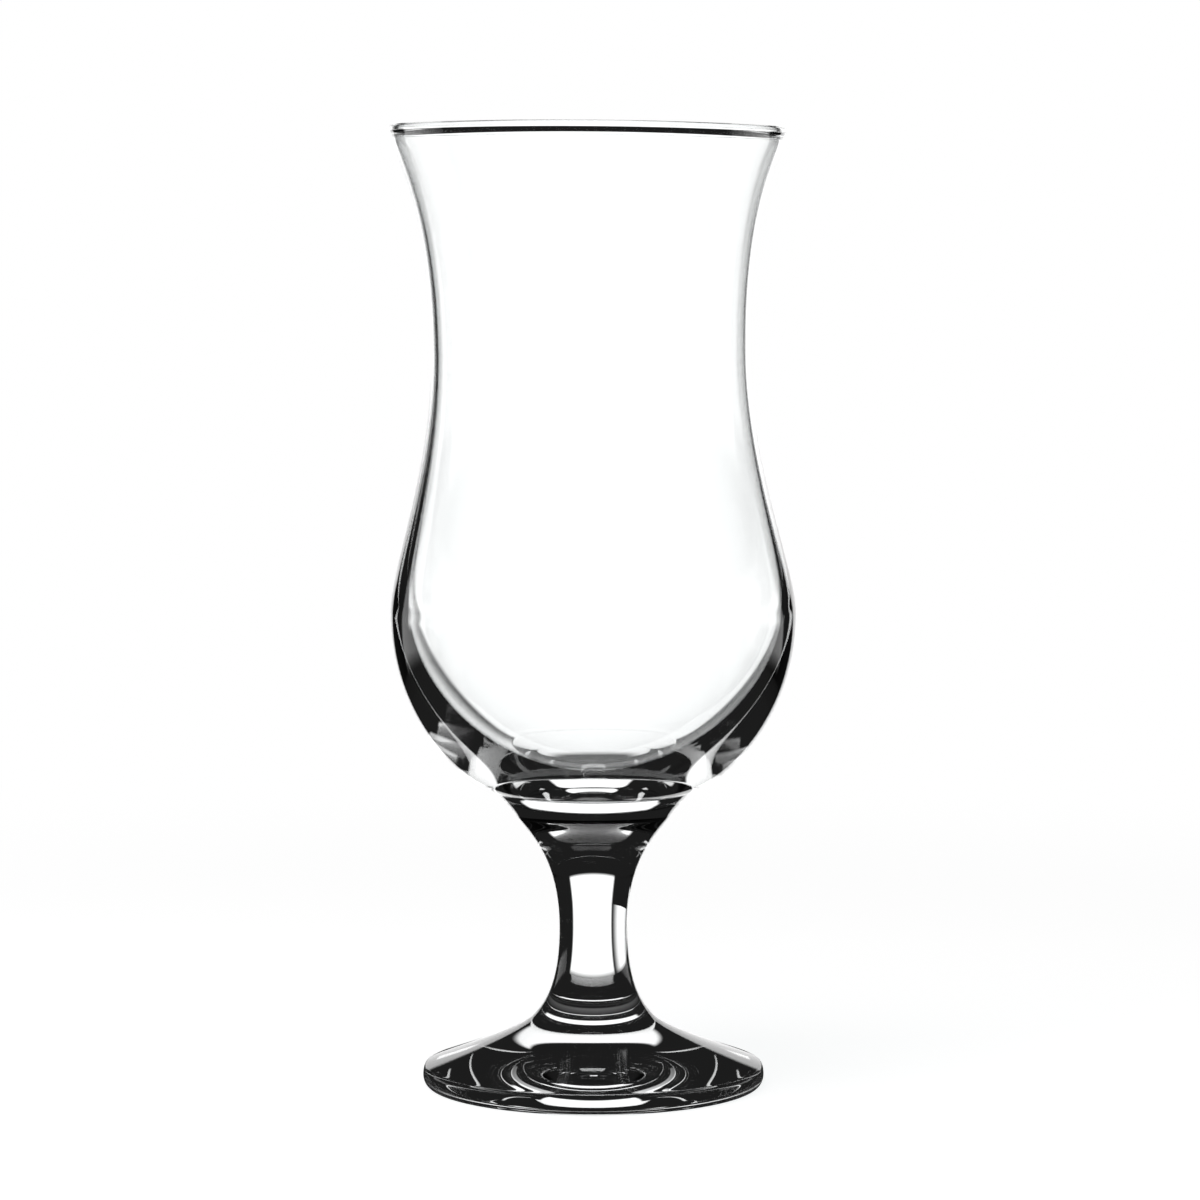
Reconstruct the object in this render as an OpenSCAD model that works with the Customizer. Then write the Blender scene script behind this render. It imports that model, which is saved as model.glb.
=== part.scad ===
// Hurricane glass: a stemmed cocktail glass of clear soda-lime glass.
// The blown bowl, the pressed stem and the pressed foot are welded to each other while hot.
// All sizes are in millimetres. The glass stands on the plane z = 0, round the z axis.

/* [Bowl outside] */
// Outside diameter just below the rim's bead
rim_d = 80.2; // [72:0.1:90]
// Height of the flare, from the waist up to the top of the rim
flare_h = 47; // [36:0.5:60]
// Outside diameter at the waist
waist_d = 65.4; // [58:0.2:72]
// Height of the shoulder, from the widest part of the belly up to the waist
shoulder_h = 54.5; // [42:0.5:68]
// Outside diameter at the widest part of the belly
belly_d = 83.9; // [76:0.1:94]
// Height of the belly, from the weld on the stem up to its widest part
belly_h = 42.2; // [34:0.1:50]
// Outside diameter at the heel, where the belly turns down into its collar
heel_d = 40.7; // [38:0.1:48]
// Height of the heel above the weld on the stem
heel_h = 5.3; // [3.5:0.1:7]
// Lean of the belly where it meets the heel, in degrees from the vertical
heel_lean = 76.5; // [55:0.5:85]
// Lean of the collar just below the heel, in degrees from the vertical
collar_top_lean = 40; // [20:0.5:60]

/* [Bowl wall] */
// Thickness of the fire-polished bead along the rim
bead_t = 1.8; // [1.4:0.1:2.4]
// How far the bead stands out from the wall outside
bead_out = 0.6; // [0.2:0.05:0.8]
// Height of the bead, from the top of the rim down to where it has tapered into the wall
bead_h = 2.6; // [2.5:0.1:4]
// Wall just below the bead
rim_wall = 0.85; // [0.7:0.05:1.1]
// Wall at the waist
waist_wall = 1.25; // [1:0.05:2.5]
// Wall at the widest part of the belly
belly_wall = 3.1; // [1.5:0.1:4.5]
// Height of the hollow's widest part above the belly's widest part
hollow_lift = 2; // [0:0.1:6]
// Solid glass between the bottom of the hollow and the weld on the stem
floor_t = 6.8; // [5:0.1:13]

/* [Stem] */
// Diameter of the weld between bowl and stem
bowl_weld_d = 31.8; // [28:0.1:36]
// Height of the stem above its slimmest place
stem_upper_h = 23.6; // [18:0.1:40]
// Diameter of the stem at its slimmest place
stem_d = 14.2; // [10:0.1:18]
// Height of the stem below its slimmest place
stem_lower_h = 18.5; // [14:0.5:30]
// Diameter of the weld between stem and foot
foot_weld_d = 25.4; // [20:0.1:30]

/* [Foot] */
// Height of the foot, from the table up to the weld under the stem
foot_h = 14.2; // [11:0.1:18]
// Diameter of the foot
foot_d = 70.9; // [60:0.1:84]
// Height of the foot's rounded edge
edge_h = 4.3; // [3:0.1:6]
// Height of the widest line of the edge above the table
edge_belly_h = 2.2; // [1.4:0.1:2.8]
// How far the edge rounds in at its top
edge_top_in = 0.7; // [0.4:0.1:1.5]
// How far the edge rounds in at its bottom
edge_bottom_in = 1.5; // [0.8:0.1:2.5]
// Width of the flat ring that the glass stands on
bearing_w = 2.4; // [1.5:0.1:5]
// Height of the hollow dome under the foot
dome_h = 2.2; // [1:0.1:4]

/* [Hidden] */

// Faces round the axis, steps along each curve, and steps along each small round edge
round_faces = 180;
curve_steps = 22;
edge_steps = 7;
glass_tint = [0.9, 0.95, 0.95, 0.45];

// Degrees in one turn
full_turn = 360;

// Heights of the welds, the belly, the waist and the rim above the table
foot_weld_z = foot_h;
stem_slim_z = foot_weld_z + stem_lower_h;
bowl_weld_z = stem_slim_z + stem_upper_h;
belly_z = bowl_weld_z + belly_h;
waist_z = belly_z + shoulder_h;
rim_z = waist_z + flare_h;
hollow_z = belly_z + hollow_lift;
floor_z = bowl_weld_z + floor_t;

// Radii and places that follow from the sizes above
bead_r = bead_t / 2;
bead_axis = [rim_d / 2 + bead_out - bead_r, rim_z - bead_r];
neck_z = rim_z - bead_h;
edge_top_r = foot_d / 2 - edge_top_in;
edge_bottom_r = foot_d / 2 - edge_bottom_in;
dome_r = edge_bottom_r - bearing_w;

// Length of each curve's handles, as a share of the height or width that the curve spans
neck_share = 0.08;
waist_up_share = 0.63;
waist_down_share = 0.45;
belly_up_share = 0.18;
belly_down_share = 0.6;
heel_up_share = 0.31;
heel_down_share = 0.05;
collar_share = 0.3;
hollow_down_share = 0.54;
floor_share = 0.54;
stem_top_share = 0.175;
stem_up_share = 0.64;
stem_down_share = 0.67;
weld_share = 0.16;
foot_share = 0.22;
rim_of_foot_share = 0.055;

// Lean of the walls at the welds and on the foot's top, in degrees from the vertical
collar_lean = 28;
stem_top_lean = 33;
foot_weld_lean = 42.5;
foot_top_lean = 64;

// A step of the given length, downwards and outwards at the given lean
function down_out(length, lean) = length * [sin(lean), -cos(lean)];

// A step of the given length, downwards and inwards at the given lean
function down_in(length, lean) = length * [-sin(lean), -cos(lean)];

// Points of the cubic curve from p to q, whose handles reach p + p_step and q + q_step
function curve(p, p_step, q_step, q) = [
    for (i = [0:curve_steps])
        let (t = i / curve_steps, u = 1 - t)
            u^3 * p + 3 * u^2 * t * (p + p_step) + 3 * u * t^2 * (q + q_step) + t^3 * q
];

// Points of an elliptical arc about a centre, from one angle to another
function arc(centre, radii, from, to) = [
    for (i = [0:edge_steps])
        let (a = from + (to - from) * i / edge_steps)
            centre + [radii[0] * cos(a), radii[1] * sin(a)]
];

// The points of an outline in the opposite order
function reversed(points) = [for (i = [len(points) - 1:-1:0]) points[i]];

// Corners where the curves of the bowl's outside meet
heel = [heel_d / 2, bowl_weld_z + heel_h];
bowl_weld = [bowl_weld_d / 2, bowl_weld_z];
belly = [belly_d / 2, belly_z];
waist = [waist_d / 2, waist_z];
neck = [rim_d / 2, neck_z];

// Corners where the curves of the bowl's inside meet
neck_inside = neck - [rim_wall, 0];
waist_inside = waist - [waist_wall, 0];
belly_inside = [belly_d / 2 - belly_wall, hollow_z];
hollow_floor = [0, floor_z];

// Angle, seen from the centre, at which a line from p touches a circle, on one side or the other
function touch(p, centre, radius, side) =
    let (way = p - centre)
        atan2(way[1], way[0]) + side * acos(radius / norm(way));

// Round top of the bead, between the two tapers that run down into the wall
function bead() = arc(
    bead_axis,
    [bead_r, bead_r],
    touch(neck, bead_axis, bead_r, 1),
    touch(neck_inside, bead_axis, bead_r, -1) + full_turn
);

// Outside of the bowl, from the neck under its bead down to the weld on the stem
function bowl_outside() = concat(
    curve(
        neck,
        [0, -neck_share * flare_h],
        [0, waist_up_share * flare_h],
        waist
    ),
    curve(
        waist,
        [0, -waist_down_share * shoulder_h],
        [0, belly_up_share * shoulder_h],
        belly
    ),
    curve(
        belly,
        [0, -belly_down_share * (belly_h - heel_h)],
        -down_in(heel_up_share * (belly[0] - heel[0]), heel_lean),
        heel
    ),
    curve(
        heel,
        down_in(heel_down_share * heel_h, collar_top_lean),
        -down_in(collar_share * heel_h, collar_lean),
        bowl_weld
    )
);

// Inside of the bowl, from the neck under its bead down to the middle of its floor
function bowl_inside() = concat(
    curve(
        neck_inside,
        [0, -neck_share * flare_h],
        [0, waist_up_share * flare_h],
        waist_inside
    ),
    curve(
        waist_inside,
        [0, -waist_down_share * (waist_z - hollow_z)],
        [0, belly_up_share * (waist_z - hollow_z)],
        belly_inside
    ),
    curve(
        belly_inside,
        [0, -hollow_down_share * (hollow_z - floor_z)],
        [floor_share * belly_inside[0], 0],
        hollow_floor
    )
);

// Waisted stem, from the weld under the bowl down to the weld on the foot
function stem_outside() = concat(
    curve(
        bowl_weld,
        down_in(stem_top_share * stem_upper_h, stem_top_lean),
        [0, stem_up_share * stem_upper_h],
        [stem_d / 2, stem_slim_z]
    ),
    curve(
        [stem_d / 2, stem_slim_z],
        [0, -stem_down_share * stem_lower_h],
        -down_out(weld_share * stem_lower_h, foot_weld_lean),
        [foot_weld_d / 2, foot_weld_z]
    )
);

// Sloping top of the foot, its rounded edge and its bearing ring
function foot_outside() = concat(
    curve(
        [foot_weld_d / 2, foot_weld_z],
        down_out(foot_share * (edge_top_r - foot_weld_d / 2), foot_weld_lean),
        -down_out(rim_of_foot_share * (edge_top_r - foot_weld_d / 2), foot_top_lean),
        [edge_top_r, edge_h]
    ),
    arc([edge_top_r, edge_belly_h], [edge_top_in, edge_h - edge_belly_h], 90, 0),
    arc([edge_bottom_r, edge_belly_h], [edge_bottom_in, edge_belly_h], 0, -90)
);

// Dome under the foot, from its middle out to the bearing ring
function foot_dome() = [
    for (i = [0:curve_steps])
        let (a = 90 * i / curve_steps)
            [dome_r * sin(a), dome_h * cos(a)^2]
];

module revolve(outline) {
    rotate_extrude($fn = round_faces)
        polygon(outline);
}

module bowl() {
    color(glass_tint)
        revolve(concat(
            reversed(bowl_outside()),
            bead(),
            bowl_inside(),
            [[0, bowl_weld_z]]
        ));
}

module stem() {
    color(glass_tint)
        revolve(concat(
            [[0, bowl_weld_z]],
            stem_outside(),
            [[0, foot_weld_z]]
        ));
}

module foot() {
    color(glass_tint)
        revolve(concat(
            [[0, foot_weld_z]],
            foot_outside(),
            reversed(foot_dome())
        ));
}

bowl();
stem();
foot();
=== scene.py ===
"""Looks of the hurricane glass: blown bowl, pressed stem and foot in clear soda-lime glass, on a plain pale stage."""

import math

import bpy
import numpy as np
from bpy.props import FloatProperty, FloatVectorProperty, IntProperty, PointerProperty, StringProperty
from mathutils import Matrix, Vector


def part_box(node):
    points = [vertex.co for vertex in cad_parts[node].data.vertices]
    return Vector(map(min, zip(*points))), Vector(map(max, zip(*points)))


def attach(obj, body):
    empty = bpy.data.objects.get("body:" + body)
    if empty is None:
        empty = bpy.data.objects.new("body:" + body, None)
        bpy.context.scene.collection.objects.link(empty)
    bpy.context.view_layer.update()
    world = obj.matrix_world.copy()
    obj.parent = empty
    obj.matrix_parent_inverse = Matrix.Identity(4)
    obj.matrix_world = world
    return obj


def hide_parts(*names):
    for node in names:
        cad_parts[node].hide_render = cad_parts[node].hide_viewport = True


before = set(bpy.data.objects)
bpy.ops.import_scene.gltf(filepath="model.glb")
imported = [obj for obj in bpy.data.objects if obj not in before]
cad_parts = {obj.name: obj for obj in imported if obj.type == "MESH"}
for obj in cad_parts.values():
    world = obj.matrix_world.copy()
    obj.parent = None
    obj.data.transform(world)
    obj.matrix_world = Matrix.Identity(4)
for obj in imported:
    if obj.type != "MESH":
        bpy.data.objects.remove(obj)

bl_info = {
    "name": "Hurricane Glass",
    "version": (1, 0, 0),
    "blender": (4, 5, 0),
    "location": "3D View > Sidebar > Glass",
    "description": "Makes a stemmed cocktail glass of clear glass, and the stage that it stands on",
    "category": "Add Mesh",
}

MM = 0.001
WHITE = (1, 1, 1, 1)

# Lit backdrops, and the painted pools of light that glass sees on the floor: the heading of each one's middle, round
# the axis from +Y towards +X, half its width, and half the width of its soft edges, in degrees. BACK is the main one,
# behind the glass. SIDES has one for each other side that the glass is looked at from, HIGH one painted on the floor
# only, as a painted pool of light for a view from high up, and MIRRORED the two beside the main one
BACK = (1.75, 23.6, 1.5)
SIDES = [(-90, 23, 1.5), (135, 23, 1.5)]
HIGH = [(-45, 14, 8)]
MIRRORED = [(-64, 20, 1.5), (66, 20, 1.5)]

# The edges of the painted light and painted shade that glass sees on the floor are soft over this share of their
# distance from the axis, to each side
FLOOR_SOFT = 0.2

# A ray's Glossy Depth is a whole number, and more than this once glass has mirrored it
UNMIRRORED = 0.5

# How the waves in each surface are scaled along X, Y and Z: less along Z where blowing or pulling draws them out
BLOWN = (1, 1, 0.4)
PULLED = (1, 1, 0.6)
PRESSED = (1, 1, 1)

# How many times finer than the longest step the small forms are divided, and the steps in each taper of the bead
FINE = 2
STEM_FINE = 3
EDGE_FINE = 4
BEAD_FINE = 9
BEAD_TAPER_STEPS = 3

# A curve is about this much longer than the line between its ends, and curves and arcs have this many steps at least
CURVE_SLACK = 1.1
CURVE_STEPS = 6
ARC_STEPS = 8

# Faces that meet at more than this angle, in degrees, show a sharp edge
SHARP = 40

# How often a light ray may be bent or mirrored: enough for the many surfaces that it crosses in the stem and foot
BOUNCES = 24
MIRRORINGS = 16

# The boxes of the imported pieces, which give the heights of the welds and the rim, and the widest diameters
FOOT_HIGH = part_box("foot")[1]
STEM_LOW, STEM_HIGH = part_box("stem")
BOWL_LOW, BOWL_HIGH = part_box("bowl")


def length(name, about, value):
    """A length in metres that the user can change."""
    return FloatProperty(
        name=name, description=about, default=value, min=0.0, precision=5, unit="LENGTH", subtype="DISTANCE"
    )


def share(name, about, value):
    """A share of another size, or a brightness, from 0 to 1, that the user can change."""
    return FloatProperty(name=name, description=about, default=value, min=0.0, max=1.0, subtype="FACTOR")


def lean(name, about, degrees):
    """An angle, given in degrees and no more than a right angle, that the user can change."""
    return FloatProperty(
        name=name, description=about, default=math.radians(degrees), min=0.0, max=math.pi / 2, subtype="ANGLE"
    )


def colour(name, about, value):
    """An sRGB hex colour that the user can change."""
    return StringProperty(name=name, description=about, default=value)


# ---------------------------------------------------------------- sizes and finishes


class BowlSizes(bpy.types.PropertyGroup):
    """Sizes of the blown bowl."""

    weld_z: length("Weld height", "Height of the weld on the stem above the table", BOWL_LOW.z)
    rim_z: length("Rim height", "Height of the rim above the table", BOWL_HIGH.z)
    rim_d: length("Rim diameter", "Outside diameter just below the bead", 80.2 * MM)
    flare_h: length("Flare height", "From the waist up to the top of the rim", 47 * MM)
    waist_d: length("Waist diameter", "Outside diameter at the waist", 65.4 * MM)
    shoulder_h: length("Shoulder height", "From the belly's widest part up to the waist", 54.5 * MM)
    belly_d: length("Belly diameter", "Outside diameter at the widest part", 2 * BOWL_HIGH.x)
    heel_d: length("Heel diameter", "Outside diameter where the belly turns into its collar", 40.7 * MM)
    heel_h: length("Heel height", "Height of the heel above the weld", 5.3 * MM)
    heel_lean: lean("Heel lean", "Lean of the belly where it meets the heel", 76.5)
    collar_top_lean: lean("Collar top lean", "Lean of the collar just below the heel", 40)
    weld_d: length("Weld diameter", "Diameter of the weld on the stem", 31.8 * MM)
    collar_lean: lean("Collar lean", "Lean of the wall just above the weld", 28)
    bead_t: length("Bead thickness", "Thickness of the fire-polished bead", 1.8 * MM)
    bead_out: length("Bead overhang", "How far the bead stands out from the wall outside", 0.6 * MM)
    bead_h: length("Bead height", "From the top of the rim down to where the bead has tapered into the wall", 2.6 * MM)
    rim_wall: length("Rim wall", "Wall just below the bead", 0.85 * MM)
    waist_wall: length("Waist wall", "Wall at the waist", 1.25 * MM)
    belly_wall: length("Belly wall", "Wall at the widest part of the belly", 3.1 * MM)
    hollow_lift: length("Hollow lift", "How far the hollow's widest part is above the belly's", 2 * MM)
    floor_t: length("Floor thickness", "Solid glass under the middle of the hollow", 6.8 * MM)
    drift: length("Wall drift", "How far the gather ran off centre, so that one wall is thicker", 0.3 * MM)
    slant: length("Slant", "How far the rim lies off the axis, because the bowl slants a little", 1.2 * MM)
    dip: length("Rim dip", "How far the rim is lower at its left and right than in front", 1.0 * MM)
    tip: length("Rim tip", "How far the rim is lower at its right than at its left", 0.6 * MM)
    neck_share: share("Neck share", "Handle of the neck's curve", 0.08)
    waist_up_share: share("Waist share up", "Upper handle at the waist", 0.63)
    waist_down_share: share("Waist share down", "Lower handle at the waist", 0.45)
    belly_up_share: share("Belly share up", "Upper handle at the belly", 0.18)
    belly_down_share: share("Belly share down", "Lower handle at the belly", 0.6)
    heel_up_share: share("Heel share up", "Upper handle at the heel", 0.31)
    heel_down_share: share("Heel share down", "Lower handle at the heel", 0.05)
    collar_share: share("Collar share", "Handle at the weld", 0.3)
    hollow_share: share("Hollow share", "Handle under the hollow's widest part", 0.54)
    floor_share: share("Floor share", "Handle beside the middle of the floor", 0.54)


class StemSizes(bpy.types.PropertyGroup):
    """Sizes of the pressed stem."""

    top_z: length("Top", "Height of the weld under the bowl", STEM_HIGH.z)
    base_z: length("Base", "Height of the weld on the foot", STEM_LOW.z)
    top_d: length("Top diameter", "Diameter of the weld under the bowl", 31.8 * MM)
    waist_d: length("Slimmest diameter", "Diameter at the slimmest place", 14.2 * MM)
    lower_h: length("Lower height", "From the weld on the foot up to the slimmest place", 18.5 * MM)
    base_d: length("Base diameter", "Diameter of the weld on the foot", 25.4 * MM)
    top_lean: lean("Top lean", "Lean of the stem under the bowl", 33)
    base_lean: lean("Base lean", "Lean of the stem on the foot", 42.5)
    top_share: share("Top share", "Handle under the bowl", 0.175)
    up_share: share("Share up", "Upper handle at the slimmest place", 0.64)
    down_share: share("Share down", "Lower handle at the slimmest place", 0.67)
    base_share: share("Base share", "Handle on the foot", 0.16)


class FootSizes(bpy.types.PropertyGroup):
    """Sizes of the pressed foot."""

    top_z: length("Top", "Height of the weld under the stem", FOOT_HIGH.z)
    foot_d: length("Foot diameter", "Widest diameter of the foot", 2 * FOOT_HIGH.x)
    top_d: length("Top diameter", "Diameter of the weld under the stem", 25.4 * MM)
    edge_h: length("Edge height", "Height of the rounded edge", 4.3 * MM)
    edge_belly_h: length("Edge belly", "Height of the edge's widest line", 2.2 * MM)
    edge_top_in: length("Edge top", "How far the edge rounds in at its top", 0.7 * MM)
    edge_bottom_in: length("Edge bottom", "How far the edge rounds in at its bottom", 1.5 * MM)
    bearing_w: length("Bearing width", "Width of the flat ring that the glass stands on", 2.4 * MM)
    dome_h: length("Dome height", "Height of the dome under the foot", 2.2 * MM)
    top_lean: lean("Top lean", "Lean of the foot's top at the weld", 42.5)
    edge_lean: lean("Edge lean", "Lean of the foot's top at its edge", 64)
    top_share: share("Top share", "Handle at the weld", 0.22)
    edge_share: share("Edge share", "Handle at the edge", 0.055)


class GlassFinish(bpy.types.PropertyGroup):
    """Finish of the glass, and how finely its surfaces are divided."""

    tint: colour("Tint", "Colour of light that has passed through the glass", "#FDFEFE")
    shadow_tint: colour("Shadow tint", "Light that one surface lets through into the shadow", "#F2F4F4")
    ior: FloatProperty(name="IOR", description="Soda-lime glass bends light by this much", default=1.52)
    wave: length("Wave height", "Height of the faint waves that blowing and pressing leave", 0.004 * MM)
    wave_span: length("Wave span", "Width of those waves", 14 * MM)
    around: IntProperty(name="Steps around", description="Faces round the axis", default=256, min=24)
    step: length("Step along", "Longest step along an outline", 1.15 * MM)


class StageLook(bpy.types.PropertyGroup):
    """Floor, backdrop, light and camera."""

    floor_colour: colour("Floor colour", "Colour of the pale floor", "#E8E8E8")
    floor_r: length("Floor reach", "How far the floor reaches from the axis to each side", 4.0)
    floor_lift: share("Floor lift", "Light that the floor adds to what it gets, so that it nears white", 0.55)
    fade_start: length("Fade start", "How far from the axis the floor starts to fade to white", 0.12)
    fade_end: length("Fade end", "How far from the axis the floor has faded to white", 0.5)
    fill: share("Fill", "Brightness of the room for matt surfaces", 0.3)
    # On the floor, rays bent by glass see painted light at the backdrop strength: a painted pool of light, and past
    # the mirrored gap a painted glow that only mirrored rays see
    backdrop: FloatProperty(
        name="Backdrop",
        description="Strength of the backdrops for rays bent by glass: white, plus what four surfaces take off it",
        default=1.3,
    )
    mirrored: share("Mirrored", "Brightness of the backdrops that only show mirrored in the glass", 0.75)
    mirrored_gap: length("Mirrored gap", "How far from the axis those backdrops start on the floor", 0.4)
    mirrored_top: lean("Mirrored top", "How high above the horizon those backdrops reach", 4.5)
    # This dark level is also the painted shade that glass sees on the floor under the foot and beside the painted pool
    # of light
    flag_dark_and_painted_shade: share("Dark side", "Brightness of the black flags that the glass sees beside the backdrops", 0.012)
    top_lean: lean("Backdrop top", "How high above the horizon the lit backdrops reach", 15)
    # Out to this distance, the floor that glass sees holds painted shade under the foot; beyond it, a painted pool of
    # light
    painted_shade_reach: length("Lit floor gap", "How far from the axis the lit floor starts", 0.046)
    soft: lean("Soft top", "Half the width of the soft edges at the tops of the lit backdrops", 1.5)
    lamp_d: length("Lamp diameter", "Diameter of the soft lamp", 0.9)
    lamp_power: FloatProperty(name="Lamp power", description="Power of the soft lamp", default=9.0, unit="POWER")
    lamp_at: FloatVectorProperty(
        name="Lamp",
        description="Place of the soft lamp, above the glass to the left and in front",
        default=(-0.35, -0.45, 1.3),
        subtype="XYZ",
        unit="LENGTH",
    )
    lamp_turn: FloatVectorProperty(
        name="Lamp turn",
        description="Turn of the soft lamp, which aims it at the glass",
        default=(math.radians(-19), math.radians(-15), 0),
        subtype="EULER",
        unit="ROTATION",
    )
    camera_at: FloatVectorProperty(
        name="Camera",
        description="Place of the camera, level with the rim",
        default=(0.00137, -1.0276, 0.1992),
        subtype="XYZ",
        unit="LENGTH",
    )
    camera_down: lean("Camera pitch", "How far the camera looks down", 5.44885)
    lens: FloatProperty(name="Lens", description="Focal length in millimetres", default=149.885, unit="CAMERA")


# ---------------------------------------------------------------- outlines


def step_out(size, angle, up):
    """A step of this size in an outline's plane: sin(angle) outwards, and cos(angle) up or down as up is 1 or -1."""
    return size * np.array([math.sin(angle), up * math.cos(angle)])


def cubic(p, p_step, q_step, q, step):
    """Points of the cubic curve from p to q, about a step apart.

    They lie at (1-t)^3 p + 3(1-t)^2 t (p + p_step) + 3(1-t) t^2 (q + q_step) + t^3 q, for t from 0 to 1.
    """
    p, p_step, q_step, q = (np.asarray(v, float) for v in (p, p_step, q_step, q))
    count = max(CURVE_STEPS, math.ceil(CURVE_SLACK * np.linalg.norm(q - p) / step))
    t = np.linspace(0.0, 1.0, count + 1)[:, None]
    u = 1.0 - t
    return u**3 * p + 3 * u**2 * t * (p + p_step) + 3 * u * t**2 * (q + q_step) + t**3 * q


def arc(centre, radii, start, end, step):
    """Points at angle a from start to end of centre + (radius out cos a, radius up sin a), about a step apart."""
    count = max(ARC_STEPS, math.ceil(abs(end - start) * max(radii) / step))
    a = np.linspace(start, end, count + 1)
    return np.asarray(centre) + np.stack([radii[0] * np.cos(a), radii[1] * np.sin(a)], axis=1)


def tangent(p, centre, radius, side):
    """Angle of the point where the line from p touches a circle, on the side that 1 or -1 names."""
    way = np.asarray(p) - centre
    return math.atan2(way[1], way[0]) + side * math.acos(radius / np.linalg.norm(way))


def chain(*curves):
    """The curves one after the other, with the point that two of them share kept once."""
    return np.concatenate([curves[0]] + [c[1:] for c in curves[1:]])


def bowl_outlines(s, step):
    """The bowl's three outlines.

    They are its outside from the weld up to the neck, the bead with its two tapers from there over the rim to the
    inside, and the inside down to the middle of the floor.
    """
    waist_z = s.rim_z - s.flare_h
    belly_z = waist_z - s.shoulder_h
    heel = np.array([s.heel_d / 2, s.weld_z + s.heel_h])
    belly = np.array([s.belly_d / 2, belly_z])
    waist = np.array([s.waist_d / 2, waist_z])
    bead_r = s.bead_t / 2
    bead_at = np.array([s.rim_d / 2 + s.bead_out - bead_r, s.rim_z - bead_r])
    neck = np.array([s.rim_d / 2, s.rim_z - s.bead_h])
    inner_neck = neck - [s.rim_wall, 0]
    start = tangent(neck, bead_at, bead_r, 1)
    end = tangent(inner_neck, bead_at, bead_r, -1) + 2 * math.pi
    belly_span = belly_z - heel[1]
    outside = chain(
        cubic(
            [s.weld_d / 2, s.weld_z],
            step_out(s.collar_share * s.heel_h, s.collar_lean, 1),
            -step_out(s.heel_down_share * s.heel_h, s.collar_top_lean, 1),
            heel,
            step / FINE,
        ),
        cubic(
            heel,
            step_out(s.heel_up_share * (belly[0] - heel[0]), s.heel_lean, 1),
            [0, -s.belly_down_share * belly_span],
            belly,
            step,
        ),
        cubic(belly, [0, s.belly_up_share * s.shoulder_h], [0, -s.waist_down_share * s.shoulder_h], waist, step),
        cubic(waist, [0, s.waist_up_share * s.flare_h], [0, -s.neck_share * s.flare_h], neck, step),
    )
    round_top = arc(bead_at, (bead_r, bead_r), start, end, step / BEAD_FINE)
    bead = chain(
        np.linspace(neck, round_top[0], BEAD_TAPER_STEPS + 1),
        round_top,
        np.linspace(round_top[-1], inner_neck, BEAD_TAPER_STEPS + 1),
    )
    hollow_z = belly_z + s.hollow_lift
    hollow = np.array([s.belly_d / 2 - s.belly_wall, hollow_z])
    inner_waist = waist - [s.waist_wall, 0]
    floor_z = s.weld_z + s.floor_t
    fall = waist_z - hollow_z
    inside = chain(
        cubic(inner_neck, [0, -s.neck_share * s.flare_h], [0, s.waist_up_share * s.flare_h], inner_waist, step),
        cubic(inner_waist, [0, -s.waist_down_share * fall], [0, s.belly_up_share * fall], hollow, step),
        cubic(
            hollow,
            [0, -s.hollow_share * (hollow_z - floor_z)],
            [s.floor_share * hollow[0], 0],
            [0, floor_z],
            step / FINE,
        ),
    )
    return outside, bead, inside


def stem_outline(s, step):
    """The stem's outside from the weld on the foot, in to its slimmest place, and out to the weld under the bowl."""
    slim = np.array([s.waist_d / 2, s.base_z + s.lower_h])
    upper_h = s.top_z - slim[1]
    return chain(
        cubic(
            [s.base_d / 2, s.base_z],
            step_out(-s.base_share * s.lower_h, s.base_lean, -1),
            [0, -s.down_share * s.lower_h],
            slim,
            step,
        ),
        cubic(
            slim,
            [0, s.up_share * upper_h],
            -step_out(s.top_share * upper_h, s.top_lean, 1),
            [s.top_d / 2, s.top_z],
            step,
        ),
    )


def foot_outline(s, step):
    """The foot's outline: the dome under it from its middle out, the flat ring, the round edge and the sloping top."""
    edge_top_r = s.foot_d / 2 - s.edge_top_in
    edge_bottom_r = s.foot_d / 2 - s.edge_bottom_in
    dome_r = edge_bottom_r - s.bearing_w
    turn = np.linspace(0, math.pi / 2, math.ceil(dome_r / step) + 1)
    dome = np.stack([dome_r * np.sin(turn), s.dome_h * np.cos(turn) ** 2], axis=1)
    ring = np.array([[dome_r, 0.0], [edge_bottom_r, 0.0]])
    slope = edge_top_r - s.top_d / 2
    edge_step = step / EDGE_FINE
    return chain(
        dome,
        ring,
        arc([edge_bottom_r, s.edge_belly_h], (s.edge_bottom_in, s.edge_belly_h), -math.pi / 2, 0, edge_step),
        arc([edge_top_r, s.edge_belly_h], (s.edge_top_in, s.edge_h - s.edge_belly_h), 0, math.pi / 2, edge_step),
        cubic(
            [edge_top_r, s.edge_h],
            step_out(-s.edge_share * slope, s.edge_lean, -1),
            -step_out(-s.top_share * slope, s.top_lean, -1),
            [s.top_d / 2, s.top_z],
            step / FINE,
        ),
    )


# ---------------------------------------------------------------- surfaces


def angles(around):
    """The angles round the axis of a ring's points."""
    return np.linspace(0, 2 * math.pi, around, endpoint=False)


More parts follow.
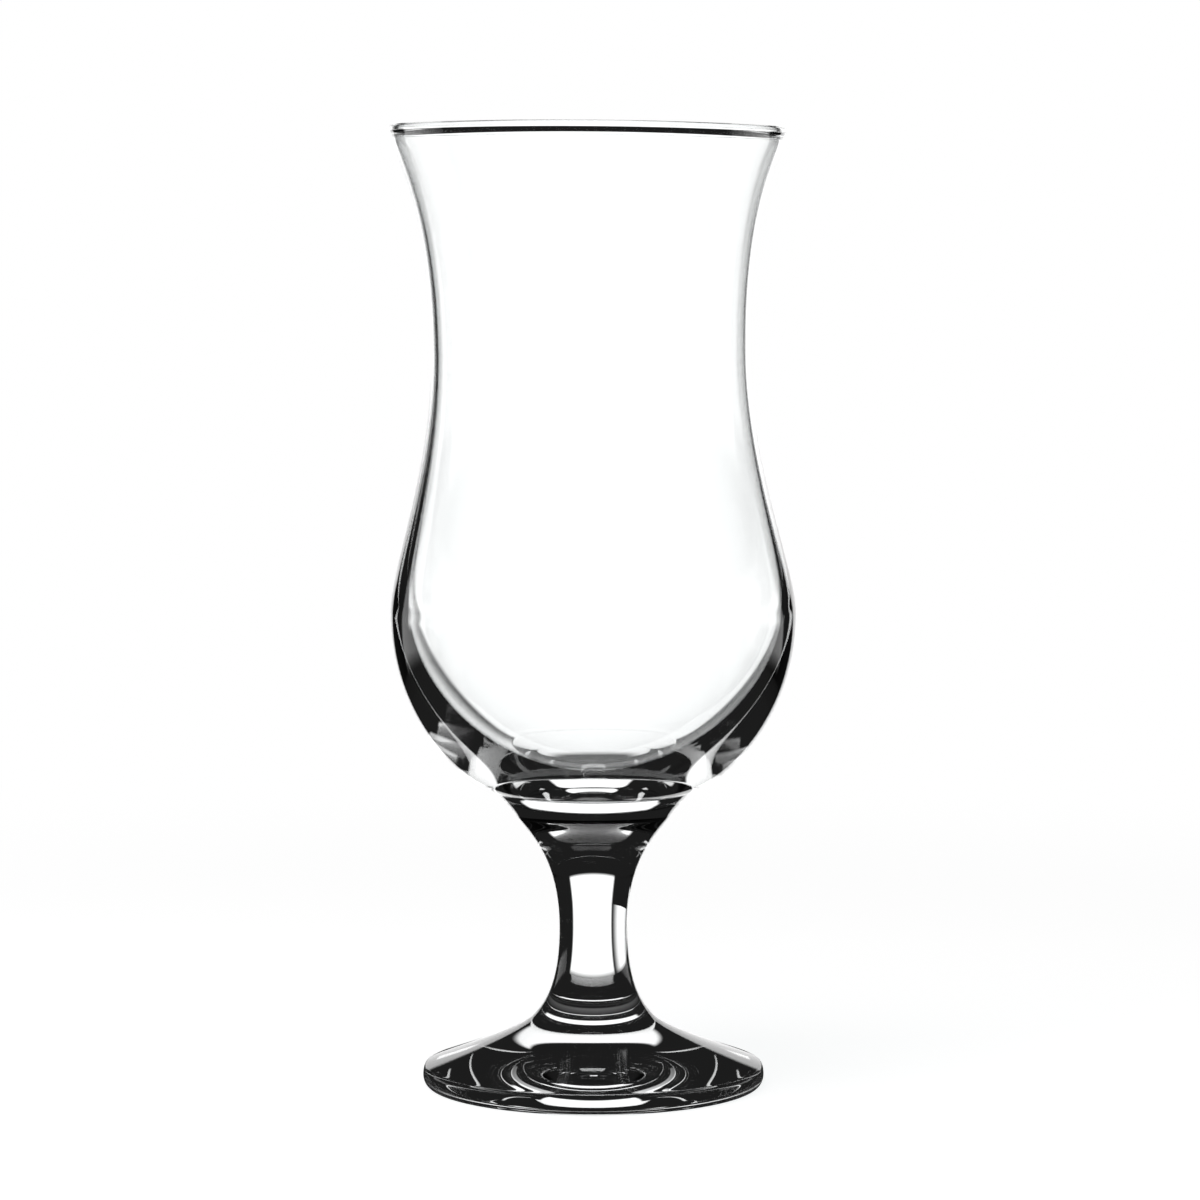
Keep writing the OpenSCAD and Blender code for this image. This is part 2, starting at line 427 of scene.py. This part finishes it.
def bowl_off_true(s, outline, first_inside, around):
    """How far each point of the bowl lies off a true form, as blowing and fire-polishing leave it.

    From first_inside on, each ring of the hollow moves towards +X by drift sin^2(pi d), where d is its share of the
    way down. Each ring above the belly moves towards -X by slant u, where u is its share of the way up to the rim. At
    angle a the rim is lower by dip cos^2 a + (tip / 2) cos a + tip^2 / (16 dip), which is nowhere below zero. This
    fades out down the upper half of the flare by 3 t^2 - 2 t^3, where t falls from 1 to 0.
    """
    offset = np.zeros((len(outline), around, 3))
    down = np.linspace(0, 1, len(outline) - first_inside)
    offset[first_inside:, :, 0] += s.drift * np.sin(math.pi * down[:, None]) ** 2
    z = outline[:, 1:]
    up = np.clip(1 - (s.rim_z - z) / (s.flare_h + s.shoulder_h), 0, 1)
    offset[..., 0] -= s.slant * up
    t = np.clip(1 - (s.rim_z - z) / (s.flare_h / 2), 0, 1)
    a = angles(around)
    lower = s.dip * np.cos(a) ** 2 + s.tip / 2 * np.cos(a) + s.tip**2 / (16 * s.dip)
    offset[..., 2] -= (3 * t**2 - 2 * t**3) * lower
    return offset


def placed(name, data, at=(0, 0, 0), turn=(0, 0, 0)):
    """A new object of the scene for a mesh, a lamp or a camera, with its place and turn."""
    made = bpy.data.objects.new(name, data)
    made.location = at
    made.rotation_euler = turn
    bpy.context.scene.collection.objects.link(made)
    return made


def revolved(name, outline, around, materials, cap_rows, offset=None):
    """A closed surface of revolution: the point (r, z) of the outline goes to (r cos a, r sin a, z) at each angle a.

    The outline starts and ends on the axis, and each end becomes one vertex. It runs outwards and up outside, so that
    the faces point outwards. Rows of faces in cap_rows take the second material. offset, where given, holds a step in
    X, Y and Z for each point of the outline at each angle.
    """
    rings = outline[1:-1]
    count = len(rings)
    a = angles(around)
    grid = np.empty((count, around, 3))
    grid[..., 0] = rings[:, :1] * np.cos(a)
    grid[..., 1] = rings[:, :1] * np.sin(a)
    grid[..., 2] = rings[:, 1:]
    if offset is not None:
        grid += offset[1:-1]
    poles = np.array([[0, 0, outline[0, 1]], [0, 0, outline[-1, 1]]])
    vertices = np.concatenate([grid.reshape(-1, 3), poles])
    here = np.arange(around)
    after = np.roll(here, -1)
    row = around * np.arange(count - 1)[:, None]
    quads = np.stack([row + here, row + after, row + around + after, row + around + here], axis=-1).reshape(-1, 4)
    first = np.stack([np.full(around, count * around), after, here], axis=1)
    top = (count - 1) * around
    last = np.stack([np.full(around, count * around + 1), top + here, top + after], axis=1)
    mesh = bpy.data.meshes.new(name)
    mesh.from_pydata(vertices.tolist(), [], first.tolist() + quads.tolist() + last.tolist())
    for material in materials:
        mesh.materials.append(material)
    rows = np.concatenate([np.zeros(around), 1 + np.repeat(np.arange(count - 1), around), np.full(around, count)])
    slots = np.isin(rows, [r % (count + 1) for r in cap_rows]).astype(np.int32)
    mesh.polygons.foreach_set("material_index", slots)
    mesh.polygons.foreach_set("use_smooth", np.ones(len(mesh.polygons), bool))
    mesh.set_sharp_from_angle(angle=math.radians(SHARP))
    mesh.validate()
    return placed(name, mesh)


def closed(outline):
    """The outline with a point on the axis put before its start and after its end, at their heights."""
    return np.concatenate([[[0, outline[0, 1]]], outline, [[0, outline[-1, 1]]]])


# ---------------------------------------------------------------- materials


def linear(text):
    """The linear RGBA colour, with full alpha, of an sRGB hex colour."""
    parts = [int(text[i : i + 2], 16) / 255 for i in (1, 3, 5)]
    return [c / 12.92 if c <= 0.04045 else ((c + 0.055) / 1.055) ** 2.4 for c in parts] + [1.0]


def add(tree, kind, links=None, **settings):
    """Adds a node of this kind to a tree, with its settings.

    Each socket in links is set to a value, or linked from a socket or from the first output of a node.
    """
    made = tree.nodes.new(kind)
    for name, value in settings.items():
        setattr(made, name, value)
    for key, value in (links or {}).items():
        if isinstance(value, bpy.types.Node):
            value = value.outputs[0]
        if isinstance(value, bpy.types.NodeSocket):
            tree.links.new(value, made.inputs[key])
        else:
            made.inputs[key].default_value = value
    return made


def new_tree(owner):
    """Empties the node tree of a material or a world."""
    owner.use_nodes = True
    owner.node_tree.nodes.clear()
    return owner.node_tree


def glass_material(name, look, stretch):
    """Clear soda-lime glass, fire-polished: no roughness, a strong bend of light, and faint waves in its surface.

    To the eye it is hard and bright, with crisp dark edges that waver slightly. Shadow rays and diffuse rays pass
    straight through with a slight loss, so that the floor gets a pale soft shadow.
    """
    material = bpy.data.materials.new(name)
    tree = new_tree(material)
    place = add(tree, "ShaderNodeTexCoord").outputs["Object"]
    mapping = add(tree, "ShaderNodeMapping", {"Vector": place, "Scale": stretch})
    noise = add(tree, "ShaderNodeTexNoise", {"Vector": mapping, "Scale": 1 / look.wave_span, "Detail": 1.0})
    bump = add(tree, "ShaderNodeBump", {"Height": noise, "Distance": look.wave, "Strength": 1.0})
    finish = {
        "Base Color": linear(look.tint),
        "Roughness": 0.0,
        "IOR": look.ior,
        "Transmission Weight": 1.0,
        "Normal": bump,
    }
    glass = add(tree, "ShaderNodeBsdfPrincipled", finish)
    clear = add(tree, "ShaderNodeBsdfTransparent", {"Color": linear(look.shadow_tint)})
    path = add(tree, "ShaderNodeLightPath").outputs
    plain = add(tree, "ShaderNodeMath", {0: path["Is Shadow Ray"], 1: path["Is Diffuse Ray"]}, operation="MAXIMUM")
    mixed = add(tree, "ShaderNodeMixShader", {"Fac": plain, 1: glass, 2: clear})
    add(tree, "ShaderNodeOutputMaterial", {"Surface": mixed})
    return material


def weld_material(name):
    """A hot weld, where glass has flowed into glass: it gives the eye nothing to see, so light goes straight on."""
    material = bpy.data.materials.new(name)
    tree = new_tree(material)
    clear = add(tree, "ShaderNodeBsdfTransparent", {"Color": WHITE})
    add(tree, "ShaderNodeOutputMaterial", {"Surface": clear})
    return material


def window(tree, way, middle, half, soft):
    """1 along ways whose heading is within the half width of the middle, and 0 elsewhere, with a soft edge."""
    facing = (math.sin(math.radians(middle)), math.cos(math.radians(middle)), 0)
    flat = add(tree, "ShaderNodeVectorMath", {0: way, 1: (1, 1, 0)}, operation="MULTIPLY")
    heading = add(tree, "ShaderNodeVectorMath", {0: flat}, operation="NORMALIZE")
    turn = add(tree, "ShaderNodeVectorMath", {0: heading, 1: facing}, operation="DOT_PRODUCT")
    edge = {
        "Value": turn.outputs["Value"],
        "From Min": math.cos(math.radians(half + soft)),
        "From Max": math.cos(math.radians(half - soft)),
    }
    return add(tree, "ShaderNodeMapRange", edge, interpolation_type="SMOOTHSTEP")


def windows(tree, way, places, level):
    """The level along ways that meet one of these places, and 0 elsewhere."""
    most = 0.0
    for place in places:
        most = add(tree, "ShaderNodeMath", {0: most, 1: window(tree, way, *place)}, operation="MAXIMUM")
    return add(tree, "ShaderNodeMath", {0: most, 1: level}, operation="MULTIPLY")


def backdrops(tree, look, way, others, lit, beside):
    """The brightness that rays bent by glass see along a way: lit backdrops where lit is 1, and black flags elsewhere.
    On the floor, the backdrops are a painted pool of light and a painted glow, and the flags are painted shade.

    The main backdrop shows straight through the glass and in what the glass mirrors. The others only show straight
    through it, so that each side is seen against its own backdrop alone. The mirrored ones only show where the glass
    mirrors them, and where beside is 1: what the walls of the bowl mirror away is made up for by what they mirror in.
    """
    depth = add(tree, "ShaderNodeLightPath").outputs["Glossy Depth"]
    straight = add(tree, "ShaderNodeMath", {0: depth, 1: UNMIRRORED}, operation="LESS_THAN")
    turned = add(tree, "ShaderNodeMath", {0: depth, 1: UNMIRRORED}, operation="GREATER_THAN")
    part = add(tree, "ShaderNodeMath", {0: turned, 1: look.mirrored}, operation="MULTIPLY")
    part = add(tree, "ShaderNodeMath", {0: part, 1: beside}, operation="MULTIPLY")
    level = window(tree, way, *BACK)
    for more in (windows(tree, way, others, straight), windows(tree, way, MIRRORED, part)):
        level = add(tree, "ShaderNodeMath", {0: level, 1: more}, operation="MAXIMUM")
    level = add(tree, "ShaderNodeMath", {0: level, 1: lit}, operation="MULTIPLY")
    return add(tree, "ShaderNodeMapRange", {"Value": level, "To Min": look.flag_dark_and_painted_shade, "To Max": look.backdrop})


def bent_ray(tree):
    """1 for a ray that glass has mirrored or bent, and 0 for any other."""
    path = add(tree, "ShaderNodeLightPath").outputs
    kinds = {0: path["Is Glossy Ray"], 1: path["Is Transmission Ray"]}
    return add(tree, "ShaderNodeMath", kinds, operation="MAXIMUM")


def floor_material(look):
    """Matt paper, pale and without a sheen, that fades into the white of the backdrop.

    Rays bent by the glass see painted light on it instead: a painted pool of light behind the glass, from a little way
    past the foot, and painted shade under the foot and beside it.
    """
    material = bpy.data.materials.new("matt_paper_sweep")
    tree = new_tree(material)
    place = add(tree, "ShaderNodeTexCoord").outputs["Object"]
    away = add(tree, "ShaderNodeVectorMath", {0: place}, operation="LENGTH").outputs["Value"]
    paper = add(tree, "ShaderNodeBsdfDiffuse", {"Color": linear(look.floor_colour)})
    lift = add(tree, "ShaderNodeEmission", {"Color": WHITE, "Strength": look.floor_lift})
    near = add(tree, "ShaderNodeAddShader", {0: paper, 1: lift})
    far = add(tree, "ShaderNodeEmission", {"Color": WHITE, "Strength": 1.0})
    span = {"Value": away, "From Min": look.fade_start, "From Max": look.fade_end}
    fade = add(tree, "ShaderNodeMapRange", span, interpolation_type="SMOOTHERSTEP")
    seen = add(tree, "ShaderNodeMixShader", {"Fac": fade, 1: near, 2: far})
    # Painted light for rays bent by glass: painted shade under the foot out to the painted shade reach, a painted pool
    # of light beyond it, and past the mirrored gap a painted glow that only mirrored rays see
    lit, beside = (
        add(
            tree,
            "ShaderNodeMapRange",
            {"Value": away, "From Min": (1 - FLOOR_SOFT) * gap, "From Max": (1 + FLOOR_SOFT) * gap},
            interpolation_type="SMOOTHSTEP",
        )
        for gap in (look.painted_shade_reach, look.mirrored_gap)
    )
    level = backdrops(tree, look, place, SIDES + HIGH, lit, beside)
    glow = add(tree, "ShaderNodeEmission", {"Color": WHITE, "Strength": level})
    mixed = add(tree, "ShaderNodeMixShader", {"Fac": bent_ray(tree), 1: seen, 2: glow})
    add(tree, "ShaderNodeOutputMaterial", {"Surface": mixed})
    return material


def studio_world(world, look):
    """The studio round the glass.

    It is a white backdrop for the camera, a plain level for matt surfaces, and white backdrops between black flags for
    rays bent by the glass.
    """
    tree = new_tree(world)
    way = add(tree, "ShaderNodeTexCoord").outputs["Generated"]
    height = add(tree, "ShaderNodeSeparateXYZ", {0: way}).outputs["Z"]
    lit, beside = (
        add(
            tree,
            "ShaderNodeMapRange",
            {"Value": height, "From Min": math.sin(top + look.soft), "From Max": math.sin(top - look.soft)},
            interpolation_type="SMOOTHSTEP",
        )
        for top in (look.top_lean, look.mirrored_top)
    )
    level = backdrops(tree, look, way, SIDES, lit, beside)
    seen = add(tree, "ShaderNodeBackground", {"Color": WHITE, "Strength": 1.0})
    fill = add(tree, "ShaderNodeBackground", {"Color": WHITE, "Strength": look.fill})
    glow = add(tree, "ShaderNodeBackground", {"Color": WHITE, "Strength": level})
    unseen = add(tree, "ShaderNodeMixShader", {"Fac": bent_ray(tree), 1: fill, 2: glow})
    camera_ray = add(tree, "ShaderNodeLightPath").outputs["Is Camera Ray"]
    mixed = add(tree, "ShaderNodeMixShader", {"Fac": camera_ray, 1: unseen, 2: seen})
    add(tree, "ShaderNodeOutputWorld", {"Surface": mixed})


# ---------------------------------------------------------------- operators


def seat(piece, node):
    """Makes a finished piece stand for its CAD node and ride on the part's one body."""
    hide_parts(node)
    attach(piece, "root")


class GLASS_OT_bowl(bpy.types.Operator):
    """Make the blown bowl with its bead, its waist, its belly and its thick floor"""

    bl_idname = "glass.bowl"
    bl_label = "Make bowl"

    def execute(self, context):
        sizes, look = context.scene.glass_bowl, context.scene.glass_finish
        outside, bead, inside = bowl_outlines(sizes, look.step)
        outline = np.concatenate([[[0, outside[0, 1]]], chain(outside, bead, inside)])
        offset = bowl_off_true(sizes, outline, len(outside) + len(bead), look.around)
        materials = [glass_material("blown_soda_lime_glass", look, BLOWN), weld_material("hot_weld_in_glass")]
        seat(revolved("glass_bowl", outline, look.around, materials, cap_rows=(0,), offset=offset), "bowl")
        return {"FINISHED"}


class GLASS_OT_stem(bpy.types.Operator):
    """Make the pressed stem, slim in its middle and welded at both ends"""

    bl_idname = "glass.stem"
    bl_label = "Make stem"

    def execute(self, context):
        sizes, look = context.scene.glass_stem, context.scene.glass_finish
        outline = closed(stem_outline(sizes, look.step / STEM_FINE))
        materials = [glass_material("pressed_soda_lime_stem", look, PULLED), weld_material("hot_weld_in_stem")]
        seat(revolved("glass_stem", outline, look.around, materials, cap_rows=(0, -1)), "stem")
        return {"FINISHED"}


class GLASS_OT_foot(bpy.types.Operator):
    """Make the pressed foot with its sloping top, rounded edge and shallow dome"""

    bl_idname = "glass.foot"
    bl_label = "Make foot"

    def execute(self, context):
        sizes, look = context.scene.glass_foot, context.scene.glass_finish
        outline = np.concatenate([foot_outline(sizes, look.step / FINE), [[0, sizes.top_z]]])
        materials = [glass_material("pressed_soda_lime_foot", look, PRESSED), weld_material("hot_weld_in_foot")]
        seat(revolved("glass_foot", outline, look.around, materials, cap_rows=(-1,)), "foot")
        return {"FINISHED"}


class GLASS_OT_stage(bpy.types.Operator):
    """Make the pale floor, the white backdrop, the soft lamp and the camera"""

    bl_idname = "glass.stage"
    bl_label = "Make stage"

    def execute(self, context):
        scene = context.scene
        look = scene.glass_stage
        reach = look.floor_r
        floor = bpy.data.meshes.new("stage_floor")
        corners = [(-reach, -reach, 0), (reach, -reach, 0), (reach, reach, 0), (-reach, reach, 0)]
        floor.from_pydata(corners, [], [(0, 1, 2, 3)])
        floor.materials.append(floor_material(look))
        placed("stage_floor", floor)
        scene.world = scene.world or bpy.data.worlds.new("studio")
        studio_world(scene.world, look)

        softbox = bpy.data.lights.new("softbox", "AREA")
        softbox.shape = "DISK"
        softbox.size = look.lamp_d
        softbox.energy = look.lamp_power
        lamp = placed("softbox", softbox, look.lamp_at, look.lamp_turn)
        lamp.visible_glossy = False
        lamp.visible_transmission = False
        lamp.visible_camera = False

        camera = bpy.data.cameras.new("camera")
        camera.lens = look.lens
        scene.camera = placed("camera", camera, look.camera_at, (math.pi / 2 - look.camera_down, 0, 0))

        scene.view_settings.view_transform = "Standard"
        scene.cycles.max_bounces = BOUNCES
        scene.cycles.glossy_bounces = MIRRORINGS
        scene.cycles.transmission_bounces = BOUNCES
        scene.cycles.transparent_max_bounces = BOUNCES
        return {"FINISHED"}


class GLASS_PT_panel(bpy.types.Panel):
    """Buttons that make the glass and its stage"""

    bl_idname = "GLASS_PT_panel"
    bl_label = "Hurricane glass"
    bl_space_type = "VIEW_3D"
    bl_region_type = "UI"
    bl_category = "Glass"

    def draw(self, context):
        for operator in (GLASS_OT_bowl, GLASS_OT_stem, GLASS_OT_foot, GLASS_OT_stage):
            self.layout.operator(operator.bl_idname)
        for name in GROUPS:
            box = self.layout.box()
            group = getattr(context.scene, name)
            box.label(text=group.bl_rna.name)
            for key in group.bl_rna.properties.keys():
                if key not in ("rna_type", "name"):
                    box.prop(group, key)


GROUPS = {
    "glass_bowl": BowlSizes,
    "glass_stem": StemSizes,
    "glass_foot": FootSizes,
    "glass_finish": GlassFinish,
    "glass_stage": StageLook,
}
CLASSES = (*GROUPS.values(), GLASS_OT_bowl, GLASS_OT_stem, GLASS_OT_foot, GLASS_OT_stage, GLASS_PT_panel)


def register():
    for cls in CLASSES:
        bpy.utils.register_class(cls)
    for name, group in GROUPS.items():
        setattr(bpy.types.Scene, name, PointerProperty(type=group))


def unregister():
    for name in GROUPS:
        delattr(bpy.types.Scene, name)
    for cls in reversed(CLASSES):
        bpy.utils.unregister_class(cls)


def main():
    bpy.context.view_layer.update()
    register()
    bpy.ops.glass.bowl()
    bpy.ops.glass.stem()
    bpy.ops.glass.foot()
    bpy.ops.glass.stage()


if __name__ == "__main__":
    main()
